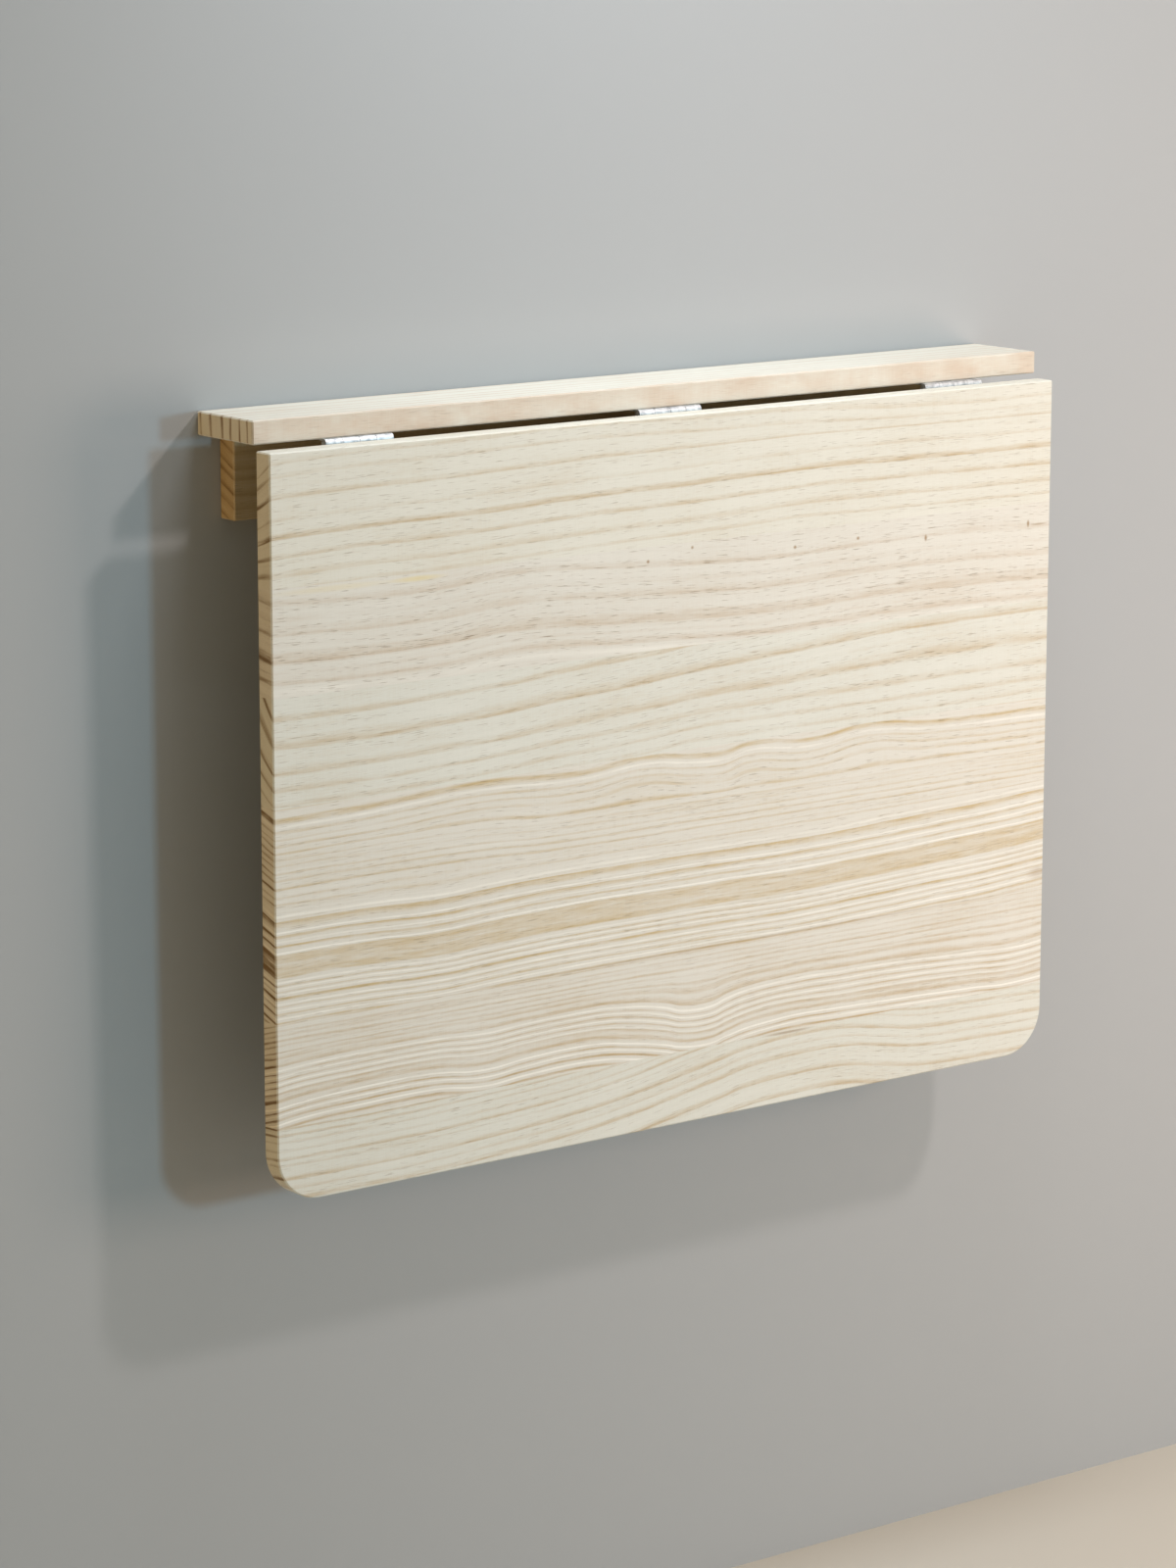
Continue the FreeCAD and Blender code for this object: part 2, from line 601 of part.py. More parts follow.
def copies(name, pattern, places):
    """One part made of separate copies of a pattern, each at its own place and turn."""
    links = []
    for number, (x, y, z, turn) in enumerate(places, start=1):
        link = doc.addObject("App::Link", f"{name}_{number}")
        link.LinkedObject = pattern
        place(link, x, y, z, turn)
        links.append(link)
    group = doc.addObject("Part::Compound", name)
    group.Label = name
    group.Links = links
    parts.append(group)


def hinge_screws():
    """The screws of both rows of hinges, their heads flush with the plates."""
    screw = screw_pattern("hinge_screw_pattern", "Sizes.screw_length")
    reach, sunk = "Sizes.screw_offset", BORE
    rows = (
        ("rail_hinge_screws", TABLE_SCREWS, f"({LEAF_PIN_Y} + {reach})",
         f"({LEAF_PIN_Z} + {sunk})", UPRIGHT),
        ("leaf_hinge_screws", TABLE_SCREWS, f"({LEAF_PIN_Y} - {sunk})",
         f"({LEAF_PIN_Z} - {reach})", FACING_WALL),
        ("batten_hinge_screws", PROP_SCREWS, f"({PROP_PIN_Y} + {sunk})",
         f"({PROP_PIN_Z} + {reach})", ABOVE_PIN),
    )
    for name, row, y, z, turn in rows:
        copies(name, screw, [(x, y, z, turn) for x in row])
    short = screw_pattern("prop_screw_pattern", "(Sizes.prop_thickness - 2 * Sizes.plate_thickness)")
    y, z = f"({PROP_PIN_Y} + {sunk})", f"({PROP_PIN_Z} - {reach})"
    copies("prop_hinge_screws", short, [(x, y, z, BELOW_PIN) for x in PROP_SCREWS])


def rail_dowels():
    """The glued dowels between the rail board and its batten."""
    dowel = doc.addObject("Part::Cylinder", "rail_dowel_pattern")
    dowel.setExpression("Radius", "Sizes.dowel_radius")
    dowel.setExpression("Height", "Sizes.batten_dowel_length")
    y = "-Sizes.board_thickness / 2"
    z = f"({UNDERSIDE} + Sizes.batten_dowel_bite - Sizes.batten_dowel_length)"
    copies("rail_dowels", dowel, [(x, y, z, UPRIGHT) for x in BATTEN_DOWELS])


def check_model():
    """Stop if a feature failed or a part has no sound solid."""
    doc.recompute()
    for thing in doc.Objects:
        if {"Invalid", "Error"} & set(thing.State):
            raise RuntimeError(f"{thing.Name} failed: {thing.State}")
    for part in parts:
        if part.Shape.isNull() or not part.Shape.isValid() or not part.Shape.Solids:
            raise RuntimeError(f"{part.Label} has no valid solid")


rail_board()
wall_batten()
lower_batten()
leaf()
table_hinges()
prop_hinges()
prop_rail()
for side, step in PROP_SIDES.items():
    wall_stile(side, step)
    prop_stile(side, step)
    catch_block(side, step)
support_bar()
hinge_screws()
rail_dowels()
check_model()
os.makedirs("parts", exist_ok=True)
for part in parts:
    part.Shape.exportStep(f"parts/{part.Label}.step")
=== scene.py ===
from functools import partial
from math import cos, pi, radians, sin

import bmesh
import bpy
from mathutils import Euler, Matrix, Vector


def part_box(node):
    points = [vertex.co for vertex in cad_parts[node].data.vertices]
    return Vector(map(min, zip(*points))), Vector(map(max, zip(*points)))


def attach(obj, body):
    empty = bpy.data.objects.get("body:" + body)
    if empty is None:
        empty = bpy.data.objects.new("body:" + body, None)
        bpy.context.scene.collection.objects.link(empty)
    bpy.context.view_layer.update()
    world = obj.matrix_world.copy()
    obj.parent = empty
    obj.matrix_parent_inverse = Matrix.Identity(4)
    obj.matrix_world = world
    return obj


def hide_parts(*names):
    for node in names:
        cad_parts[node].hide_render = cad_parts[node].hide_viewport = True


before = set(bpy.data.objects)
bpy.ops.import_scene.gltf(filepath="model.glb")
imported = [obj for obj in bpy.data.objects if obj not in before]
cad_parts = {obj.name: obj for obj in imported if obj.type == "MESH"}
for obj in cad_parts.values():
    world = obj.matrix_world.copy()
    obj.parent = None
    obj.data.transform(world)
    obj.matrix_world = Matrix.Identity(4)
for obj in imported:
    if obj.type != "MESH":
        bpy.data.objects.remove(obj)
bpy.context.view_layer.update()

# Camera. It stands in the room to the left of the table and a little above it, and looks down at
# it through a long lens.
CAMERA_PLACE = (-1.7814, -2.3222, 0.3754)
PAN, TILT, ROLL = -0.6499, -0.1998, -0.0006
LENS_MM, SENSOR_MM = 109.7, 36.0
scene = bpy.context.scene
camera_data = bpy.data.cameras.new("camera")
camera_data.lens = LENS_MM
camera_data.sensor_width = SENSOR_MM
camera = bpy.data.objects.new("camera", camera_data)
camera.location = CAMERA_PLACE
camera.rotation_euler = (
    Euler((0, 0, PAN)).to_matrix() @ Euler((TILT, 0, 0)).to_matrix()
    @ Euler((0, ROLL, 0)).to_matrix() @ Euler((radians(90), 0, 0)).to_matrix()
).to_euler()
scene.collection.objects.link(camera)
scene.camera = camera

# Studio. A plain pale grey wall behind the table and a plain pale floor under it, both in matt
# emulsion paint, which shows as an even soft tone. They are clear when seen from behind, so that
# the back of the table can be looked at. Soft lamps stand round the table. Sizes are in metres.
WALL_COLOUR, FLOOR_COLOUR = "#ADB0B1", "#C9C4B9"
PAINT_ROUGHNESS, PAINT_SPECULAR = 0.8, 0.1
FLOOR_HEIGHT = -0.758
WALL_GAP = 0.0006
ROOM = 6.0
TABLE_MIDDLE = Vector((0.0, -0.05, -0.2))
WORLD_COLOUR, WORLD_STRENGTH = "#EFE3C9", 0.34


def linear(hex_colour):
    """An sRGB hex colour as the linear RGBA that a shader works in."""
    channels = [int(hex_colour[i:i + 2], 16) / 255 for i in (1, 3, 5)]
    return (*[
        c / 12.92 if c <= 0.04045 else ((c + 0.055) / 1.055) ** 2.4 for c in channels
    ], 1.0)


def add(tree, kind, sockets=(), out=0, **settings):
    """Add a shader node and give back one of its outputs, or the node itself where out is None.

    Settings are the node's properties; sockets are numbers, colours or other nodes' outputs."""
    made = tree.nodes.new("ShaderNode" + kind)
    for name, setting in settings.items():
        setattr(made, name, setting)
    for place, entry in (sockets.items() if isinstance(sockets, dict) else enumerate(sockets)):
        if isinstance(entry, bpy.types.NodeSocket):
            tree.links.new(entry, made.inputs[place])
        else:
            made.inputs[place].default_value = entry
    return made if out is None else made.outputs[out]


def new_material(name):
    """An empty material, a function that adds a node to it, and its shader."""
    material = bpy.data.materials.new(name)
    material.use_nodes = True
    tree = material.node_tree
    return material, partial(add, tree), tree.nodes["Principled BSDF"]


def backdrop(name, colour, corners):
    """A painted sheet that shows from its front only."""
    mesh = bpy.data.meshes.new(name)
    mesh.from_pydata(corners, [], [(0, 1, 2, 3)])
    sheet = bpy.data.objects.new(name, mesh)
    scene.collection.objects.link(sheet)
    material, node, paint = new_material(f"{name}_paint")
    paint.inputs["Base Color"].default_value = linear(colour)
    paint.inputs["Roughness"].default_value = PAINT_ROUGHNESS
    paint.inputs["Specular IOR Level"].default_value = PAINT_SPECULAR
    behind = node("NewGeometry", out="Backfacing")
    seen_through = node("LightPath", out="Transparent Depth")
    clear = node("Math", (behind, seen_through), operation="MAXIMUM")
    shown = node("MixShader", (clear, paint.outputs[0], node("BsdfTransparent")))
    tree = material.node_tree
    tree.links.new(shown, tree.nodes["Material Output"].inputs["Surface"])
    mesh.materials.append(material)


backdrop("wall", WALL_COLOUR, [
    (-ROOM, WALL_GAP, FLOOR_HEIGHT), (ROOM, WALL_GAP, FLOOR_HEIGHT),
    (ROOM, WALL_GAP, ROOM), (-ROOM, WALL_GAP, ROOM),
])
backdrop("floor", FLOOR_COLOUR, [
    (-ROOM, -ROOM, FLOOR_HEIGHT), (ROOM, -ROOM, FLOOR_HEIGHT),
    (ROOM, WALL_GAP, FLOOR_HEIGHT), (-ROOM, WALL_GAP, FLOOR_HEIGHT),
])

# Each lamp has its place and its side in metres, its watts, its colour and its beam in degrees.
LAMPS = {
    "upper_right_lamp": ((0.7, -1.06, 1.02), 0.12, 9.6, "#FFF3EF", 180),
    "front_lamp": ((0.73, -2.4, 0.12), 0.2, 15.1, "#ABE2FF", 180),
    "right_lamp": ((0.95, -0.97, -0.2), 0.5, 7.9, "#FFE0CD", 180),
    "top_lamp": ((-0.04, -0.24, 0.95), 0.4, 2.2, "#EEF6FF", 95),
    "left_lamp": ((-2.2, -0.22, -0.25), 0.4, 7, "#FFD596", 180),
    "rear_lamp": ((0.9, 2.5, 0.4), 2.0, 28, "#FFFFFF", 180),
}
for name, (place, side, watts, colour, beam) in LAMPS.items():
    lamp = bpy.data.lights.new(name, "AREA")
    lamp.size = side
    lamp.energy = watts
    lamp.color = linear(colour)[:3]
    lamp.spread = radians(beam)
    holder = bpy.data.objects.new(name, lamp)
    holder.location = place
    holder.rotation_euler = (Vector(place) - TABLE_MIDDLE).to_track_quat("Z", "Y").to_euler()
    scene.collection.objects.link(holder)
world = bpy.data.worlds.new("studio")
world.use_nodes = True
sky = world.node_tree.nodes["Background"]
sky.inputs["Color"].default_value = linear(WORLD_COLOUR)
sky.inputs["Strength"].default_value = WORLD_STRENGTH
scene.world = world
scene.view_settings.view_transform = "Standard"

# Drop leaf. Six staves of radiata pine glued edge to edge, planed and sanded, left without oil or
# lacquer. Each stave was cut from another part of a log, so each has its own run of growth rings.
# Places on the leaf are millimetres from its left end and from its hinged edge.
MM = 0.001
LEAF_WIDTH = 600.0
LEAF_ORIGIN = (-LEAF_WIDTH / 2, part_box("leaf_stave_1")[1].z / MM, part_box("leaf_stave_1")[0].y / MM)
CREAM, PINK_CREAM, GREEN_CREAM = "#DDDBCF", "#DCD9CF", "#DBDBD1"
TAN, PINK_TAN, STRAW = "#C2AC87", "#C3B096", "#C8B48C"
PALE_RING = "#F1EFE6"
CANAL_BROWN, KNOT_BROWN, RESIN_YELLOW = "#8A7860", "#A08665", "#E0D2A2"
END_TINT, END_RING = "#F0E6D4", "#A08F7A"

# A colour ramp holds 32 stops and a ring takes four. A curve holds values from 0 to 1, which
# stand for shifts of 40 mm either way.
STOPS_PER_RAMP, STOPS_PER_RING = 32, 4
RAMP_MARGIN = 1.0
SHIFT_SCALE = 80.0

# Sizes of the grain in mm, along the board, across its rings and into it. Fibres and resin canals
# are finer than 0.2 mm in the wood, and are drawn 0.5 mm wide so that they show. Rings are broken
# into paler and darker lengths, and wander a little from their drawn lines.
FIBRE = (9, 0.5, 0.5)
RESIN_CANALS = (12, 0.5, 0.5)
FINE_RINGS = (200, 2.6, 30)
BROKEN_RINGS = (26, 2.2, 20)
MOTTLE = (90, 25, 40)
CROSS_FIGURE = (1.1, 14, 14)
WANDER = (70, 14, 30)
LATEWOOD_HALF = 0.3
WANDER_REACH = 2.0
BREAK_DEPTH = 2.4

# How much each grain adds to the tone of the wood, where canals, marks and end grain begin and
# end, and how rough and how deep the fibre lies on a sanded face.
FIBRE_TONE, MOTTLE_TONE, CROSS_TONE = 0.22, 0.25, 0.06
CANALS_BY_RING, CANALS_BY_FINE_RING = 0.06, 0.3
CANAL_EDGE = (0.145, 0.23)
MARK_EDGE = (1.2, 0.4)
END_FACING = (0.6, 0.9)
END_LATEWOOD = (0.1, 0.6)
WOOD_SPECULAR = 0.2
FIBRE_RANGE, WOOD_ROUGHNESS = (-0.3, 0.3), (0.72, 0.56)
FIBRE_RELIEF, FIBRE_BUMP = 0.06, 0.5


def grain_shift(node, along, length, points):
    """How far grain lines lie from straight, in mm, through (place along the board, shift).

    A new curve already has two points."""
    share = node("Math", (along, 1 / length), operation="MULTIPLY")
    curve = node("FloatCurve", {"Value": share}, out=None)
    line = curve.mapping.curves[0]
    for number, (place, shift) in enumerate(points):
        spot = (place / length, 0.5 + shift / SHIFT_SCALE)
        if number < 2:
            line.points[number].location = spot
        else:
            line.points.new(*spot)
    curve.mapping.update()
    return node(
        "Math", (curve.outputs[0], SHIFT_SCALE, -SHIFT_SCALE / 2), operation="MULTIPLY_ADD"
    )


def weighted_shift(node, along, across, length, shifts):
    """Grain shifts that each hold between two places across the board and fade beyond them."""
    total = 0.0
    for points, (rise_from, rise_to, fall_from, fall_to) in shifts:
        shift = grain_shift(node, along, length, points)
        rise = node("MapRange", (across, rise_from, rise_to), interpolation_type="SMOOTHSTEP")
        fall = node(
            "MapRange", (across, fall_from, fall_to, 1.0, 0.0), interpolation_type="SMOOTHSTEP"
        )
        weight = node("Math", (rise, fall), operation="MULTIPLY")
        total = node("Math", (shift, weight, total), operation="MULTIPLY_ADD")
    return total


def ring_tone(node, across, rings):
    """Tone of the wood across the rings: 0 plain, 1 full latewood, below 0 the palest lines.

    A ring is (place, fade before it, fade after it, tone), in mm. Rings that overlap run into
    each other. The rings are shared among as many colour ramps as they need. A new ramp already
    has two stops, of which the first is kept."""
    total = 0.0
    per_ramp = STOPS_PER_RAMP // STOPS_PER_RING - 1
    for first in range(0, len(rings), per_ramp):
        group = rings[first:first + per_ramp]
        start = group[0][0] - group[0][1] - RAMP_MARGIN
        end = group[-1][0] + group[-1][2] + RAMP_MARGIN
        stops = [(start, 0.0)]
        for place, before, after, tone in group:
            if place - before < stops[-1][0]:
                stops.pop()
            else:
                stops.append((place - before, 0.0))
            stops += [
                (place - LATEWOOD_HALF, tone), (place + LATEWOOD_HALF, tone),
                (place + LATEWOOD_HALF + after, 0.0),
            ]
        ramp = node("ValToRGB", (node("MapRange", (across, start, end)),), out=None)
        elements = ramp.color_ramp.elements
        elements.remove(elements[1])
        for number, (place, tone) in enumerate(stops):
            stop = elements[0] if number == 0 else elements.new(1.0)
            stop.position = min((place - start) / (end - start), 1.0)
            stop.color = (*[0.5 + tone / 2] * 3, 1)
        middled = node("Math", (ramp.outputs[0], 0.5), operation="SUBTRACT")
        total = node("Math", (middled, 2.0, total), operation="MULTIPLY_ADD")
    return total


def grain_noise(node, sizes, places, detail=1.0):
    """Noise about 0 whose grains have the given sizes, in mm, along each of three places."""
    scaled = [
        node("Math", (place, 1 / size), operation="MULTIPLY")
        for place, size in zip(places, sizes)
    ]
    vector = node("CombineXYZ", scaled)
    noise = node("TexNoise", {"Vector": vector, "Scale": 1.0, "Detail": detail})
    return node("Math", (noise, 0.5), operation="SUBTRACT")


def pine(name, rings, shifts=(), end_slope=0.0, end_turn=(0.0, 0.0), fine=0.2, canals=0.5,
         early=CREAM, late=TAN, marks=(), axes=("X", "Z", "Y"), origin=LEAF_ORIGIN,
         length=LEAF_WIDTH):
    """Planed pine: matte pale earlywood that fades into thin tan latewood, short dark resin
    canals along the grain, fine fibre, and on the cut ends the same rings, darker.

    axes names the object axes along, across and into the board; origin is their zero, in mm.
    end_slope tilts the rings from the face into the board, and end_turn, a place and a rate,
    turns that tilt across it. A mark is (along, across, half length, half width, strength,
    colour). In a Mix node, socket 0 is the share, 6 and 7 the two colours and output 2 the mix."""
    material, node, shader = new_material(name)
    place = node("SeparateXYZ", (node("TexCoord", out="Object"),), out=None)
    along, across, into = [
        node(
            "Math", (place.outputs[axis], sign / MM, -zero * sign), operation="MULTIPLY_ADD"
        )
        for axis, sign, zero in zip(axes, (1, -1, 1), origin)
    ]
    shift = weighted_shift(node, along, across, length, shifts)
    straight = node("Math", (across, shift), operation="SUBTRACT")
    slope = node(
        "Math", (across, end_turn[1], end_slope - end_turn[0] * end_turn[1]),
        operation="MULTIPLY_ADD",
    )
    ring = node("Math", (slope, into, straight), operation="MULTIPLY_ADD")
    wander = grain_noise(node, WANDER, (along, ring, into), detail=2.0)
    ring = node("Math", (wander, WANDER_REACH, ring), operation="MULTIPLY_ADD")

    fibre = grain_noise(node, FIBRE, (along, across, into))
    fine_rings = grain_noise(node, FINE_RINGS, (along, ring, into), detail=4.0)
    mottle = grain_noise(node, MOTTLE, (along, ring, into), detail=2.0)
    broken = grain_noise(node, BROKEN_RINGS, (along, ring, into), detail=2.0)
    cross = grain_noise(node, CROSS_FIGURE, (along, across, into), detail=0.0)

    strength = node("Math", (broken, BREAK_DEPTH, 1.0), operation="MULTIPLY_ADD")
    tone = node("Math", (ring_tone(node, ring, rings), strength), operation="MULTIPLY")
    for grain, amount in (
        (fine_rings, fine), (fibre, FIBRE_TONE), (mottle, MOTTLE_TONE), (cross, CROSS_TONE),
    ):
        tone = node("Math", (grain, amount * 2, tone), operation="MULTIPLY_ADD")
    colour = node("Mix", {
        0: node("MapRange", (tone, 0.0, 1.0)), 6: linear(early), 7: linear(late),
    }, out=2, data_type="RGBA")
    colour = node("Mix", {
        0: node("MapRange", (tone, 0.0, -1.0)), 6: colour, 7: linear(PALE_RING),
    }, out=2, data_type="RGBA")

    dashes = grain_noise(node, RESIN_CANALS, (along, ring, into))
    for clustering, amount in ((tone, CANALS_BY_RING), (fine_rings, CANALS_BY_FINE_RING)):
        dashes = node("Math", (clustering, amount, dashes), operation="MULTIPLY_ADD")
    dashes = node("MapRange", (dashes, *CANAL_EDGE, 0.0, canals))
    colour = node("Mix", {0: dashes, 6: colour, 7: linear(CANAL_BROWN)}, out=2, data_type="RGBA")
    spot = node("CombineXYZ", (along, across, 0.0))
    for centre_along, centre_across, half_length, half_width, strength, tint in marks:
        apart = node(
            "VectorMath", (spot, (centre_along, centre_across, 0)), operation="SUBTRACT"
        )
        apart = node("VectorMath", (apart, (half_length, half_width, 1)), operation="DIVIDE")
        reach = node("VectorMath", (apart,), out="Value", operation="LENGTH")
        inside = node("MapRange", (reach, *MARK_EDGE, 0.0, strength))
        colour = node("Mix", {0: inside, 6: colour, 7: linear(tint)}, out=2, data_type="RGBA")

    facing = node("SeparateXYZ", (node("TexCoord", out="Normal"),), out=axes[0])
    end = node("MapRange", (node("Math", (facing,), operation="ABSOLUTE"), *END_FACING))
    end_late = node("Math", (node("MapRange", (tone, *END_LATEWOOD)), end), operation="MULTIPLY")
    for share, tint in ((end, END_TINT), (end_late, END_RING)):
        colour = node("Mix", {
            0: share, 6: colour, 7: linear(tint),
        }, out=2, data_type="RGBA", blend_type="MULTIPLY")
    shader.inputs["Specular IOR Level"].default_value = WOOD_SPECULAR
    tree = material.node_tree
    tree.links.new(colour, shader.inputs["Base Color"])
    roughness = node("MapRange", (fibre, *FIBRE_RANGE, *WOOD_ROUGHNESS))
    tree.links.new(roughness, shader.inputs["Roughness"])
    relief = node("Bump", {"Strength": FIBRE_BUMP, "Distance": FIBRE_RELIEF * MM, "Height": fibre})
    tree.links.new(relief, shader.inputs["Normal"])
    return material


def clothe(names, material):
    """Give CAD pieces their material."""
    for name in names:
        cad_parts[name].material_slots[0].material = material


# First stave, at the hinges: flat sawn, with wide even rings that turn over in the end.
FIRST_RINGS = (
    (6.6, 3, 0.8, 0.29), (14.4, 2.5, 0.8, 0.25), (26.4, 3, 0.9, 0.42), (39, 2.5, 0.8, 0.21),
    (49.4, 3.5, 0.9, 0.63), (60.6, 3, 0.8, 0.42), (71.4, 3.5, 0.9, 0.34), (79.5, 2, 0.8, 0.29),
)
FIRST_SHIFTS = (
    (((0, 0), (55, -2), (125, -2.7), (215, -5.5), (307, -7), (405, -9.4), (453, -9),
      (600, -7.4)), (-60, -50, 300, 310)),
    (((0, 0), (215, 0), (307, 3), (400, 6.8), (493, 10.4), (600, 9.8)), (-60, -50, 12, 24)),
)
clothe(["leaf_stave_1"], pine(
    "flat_sawn_pine", FIRST_RINGS, FIRST_SHIFTS, end_turn=(90, 0.0095), fine=0.16,
))

# Second stave: pinker, speckled with resin canals, with pin knots and two streaks of resin.
SECOND_RINGS = (
    (87, 4, 1.5, 0.35), (96, 3, 1.5, 0.15), (104.6, 5, 1.5, 0.35), (116, 2, 1, 0.2),
    (120.5, 4, 1.5, 0.5), (127, 2, 1, 0.12), (133, 4, 1.5, 0.4), (137.5, 2, 3, -0.35),
)
SECOND_SHIFTS = (
    (((0, 0), (119, 1), (165, -2), (190, -2), (255, 1.5), (307, 4), (370, 6.4), (440, 4.5),
      (500, 4), (600, 6.5)), (-10, 0, 300, 310)),
)
SECOND_MARKS = (
    (272, 87, 1.3, 1.2, 0.85, KNOT_BROWN), (306, 81.4, 1.2, 1.1, 0.75, KNOT_BROWN),
    (387, 88.6, 1.4, 1.2, 0.85, KNOT_BROWN), (438, 87.6, 1.3, 1.2, 0.85, KNOT_BROWN),
    (494, 92.4, 1.2, 2.2, 0.85, KNOT_BROWN), (581, 91, 1.2, 2.4, 0.85, KNOT_BROWN),
    (590, 92, 7, 0.7, 0.6, KNOT_BROWN),
    (102, 81, 19, 1.7, 0.7, RESIN_YELLOW), (44, 81, 42, 2, 0.3, RESIN_YELLOW),
)
clothe(["leaf_stave_2"], pine(
    "speckled_pine", SECOND_RINGS, SECOND_SHIFTS, end_slope=0.15, fine=0.26, canals=0.7,
    early=PINK_CREAM, late=PINK_TAN, marks=SECOND_MARKS,
))

# Third stave: greener cream, with rings that sink to the right and stand steep in the end.
THIRD_RINGS = (
    (154, 4, 1.2, 0.43), (165.5, 2, 1, 0.13), (170.4, 4, 1.2, 0.52), (178, 2, 1, 0.1),
    (185.6, 5, 1.5, 0.43), (195.6, 3, 1, 0.34), (204.4, 3, 1, 0.3), (212.5, 3, 1, 0.26),
    (221, 3, 1, 0.26),
)
THIRD_SHIFTS = (
    (((0, 0), (79, 0), (115, -1), (165, -2.5), (200, -5), (280, -9), (307, -11), (373, -11.2),
      (600, -11.4)), (-10, 0, 300, 310)),
    (((0, 0), (215, -1), (307, -2), (373, -5), (449, -9), (493, -10.5), (600, -11.4)),
     (-10, 0, 150, 194)),
)
clothe(["leaf_stave_3"], pine(
    "green_cream_pine", THIRD_RINGS, THIRD_SHIFTS, end_slope=0.9, end_turn=(175, -0.012),
    fine=0.16, early=GREEN_CREAM,
))

# Fourth stave, the widest: narrow rings, a group of bright stripes and one broad straw band.
FOURTH_RINGS = (
    (206.3, 0.4, 0.5, 0.4), (212.5, 1.5, 2.8, 0.7), (217, 1, 1, -0.5), (220.5, 1.5, 0.5, 0.35),
    (224.5, 1, 0.4, 0.3), (228, 1, 0.4, 0.35), (232.5, 1.5, 0.4, 0.45), (236.5, 1, 0.4, 0.2),
    (240, 1, 0.4, 0.25), (244.5, 1, 0.4, 0.3), (248.5, 1.2, 0.4, 0.35), (253.5, 1.5, 0.4, 0.45),
    (258.5, 1, 0.4, 0.2), (262.5, 1.5, 0.4, 0.3), (269.5, 1.5, 0.6, -0.5), (272.5, 0.6, 4, 0.75),
    (279, 0.8, 0.3, -0.7), (281, 0.4, 2, 0.75), (284.6, 0.6, 0.4, -0.5), (287.2, 0.8, 1, 0.6),
    (291, 0.6, 0.3, -0.8), (292.6, 0.4, 3, 0.6), (296.5, 1, 3, 0.42), (300, 1, 3, 0.4),
    (305.3, 2.5, 0.8, 0.6), (308.5, 0.6, 0.5, -0.5), (310.5, 0.4, 0.3, 0.4),
    (312, 0.4, 0.4, -0.6), (314, 0.3, 0.3, 0.4), (315.5, 0.4, 0.4, -0.6), (318, 0.8, 1.4, 0.8),
    (321.5, 0.5, 0.4, -0.6), (323, 0.4, 0.4, 0.4), (325, 0.4, 0.4, -0.5),
    (327.2, 0.8, 0.5, 0.6), (329.8, 0.6, 0.4, -0.7), (332.5, 1, 1, 0.6), (336, 1, 1, 0.3),
)
FOURTH_SHIFTS = (
    (((0, 0), (60, -1), (140, -5), (220, -2.5), (270, -6), (310, -2), (330, -1.5), (352, -5),
      (400, -2), (450, -6), (500, -2), (600, 0)), (100, 110, 218, 240)),
    (((0, 0), (140, 0), (200, 2.5), (300, 3), (400, 3), (600, 3)), (218, 240, 250, 268)),
    (((0, 0), (60, 0.3), (122, 2.2), (150, 1), (200, -0.3), (300, -0.3), (400, 0.7), (450, -0.5),
      (500, -1.8), (550, -3.2), (600, -6)), (255, 268, 500, 520)),
)
FOURTH_MARKS = ((595, 322, 9, 4, 0.35, KNOT_BROWN), (360, 332.5, 230, 0.8, 0.35, KNOT_BROWN))
clothe(["leaf_stave_4"], pine(
    "striped_pine", FOURTH_RINGS, FOURTH_SHIFTS, end_slope=0.32, fine=0.42, canals=0.4,
    early=PINK_CREAM, late=STRAW, marks=FOURTH_MARKS,
))

# Fifth stave: narrow bright rings in deep waves, from wood that grew beside a knot.
FIFTH_RINGS = (
    (333.8, 0.4, 0.5, 0.3), (337.5, 1.2, 0.5, 0.3), (340.5, 1, 0.4, 0.2), (343.5, 1.2, 0.5, 0.4),
    (346.5, 1, 0.4, 0.25), (350, 1, 0.4, 0.3), (353, 2, 1, 0.4), (358, 2.5, 0.6, 0.5),
    (361, 0.8, 0.5, -0.7), (363, 0.5, 0.6, 0.45), (365, 0.5, 0.4, -0.6), (367.2, 0.6, 0.6, 0.5),
    (369.3, 0.5, 0.4, -0.6), (371.2, 0.5, 0.6, 0.5), (373.5, 0.6, 0.5, -0.4),
    (375, 0.8, 2, 0.4), (379.5, 2, 1.2, 0.55), (383.6, 0.6, 0.5, -1.0), (386, 0.6, 0.6, 0.6),
    (388, 0.5, 0.4, -0.7), (390.8, 1, 0.6, 0.65), (393.6, 0.7, 0.5, -0.9), (396.5, 1, 1, 0.6),
    (400, 0.6, 0.6, -0.3), (403, 1, 0.6, 0.5), (406, 0.6, 0.5, -0.5),
)
FIFTH_SHIFTS = (
    (((0, 0), (25, -2.5), (60, -3.5), (110, -3.5), (150, 0), (180, -2), (230, -2.5), (260, 1),
      (285, 6), (305, 10.5), (320, 11), (335, 8), (352, 5), (385, 3), (430, 4.2), (500, 6),
      (540, 8), (570, 9.5), (600, 8)), (338, 378, 500, 520)),
)
clothe(["leaf_stave_5"], pine(
    "wavy_pine", FIFTH_RINGS, FIFTH_SHIFTS, end_slope=-0.3, fine=0.42, canals=0.3,
    early=PINK_CREAM, late=TAN,
))

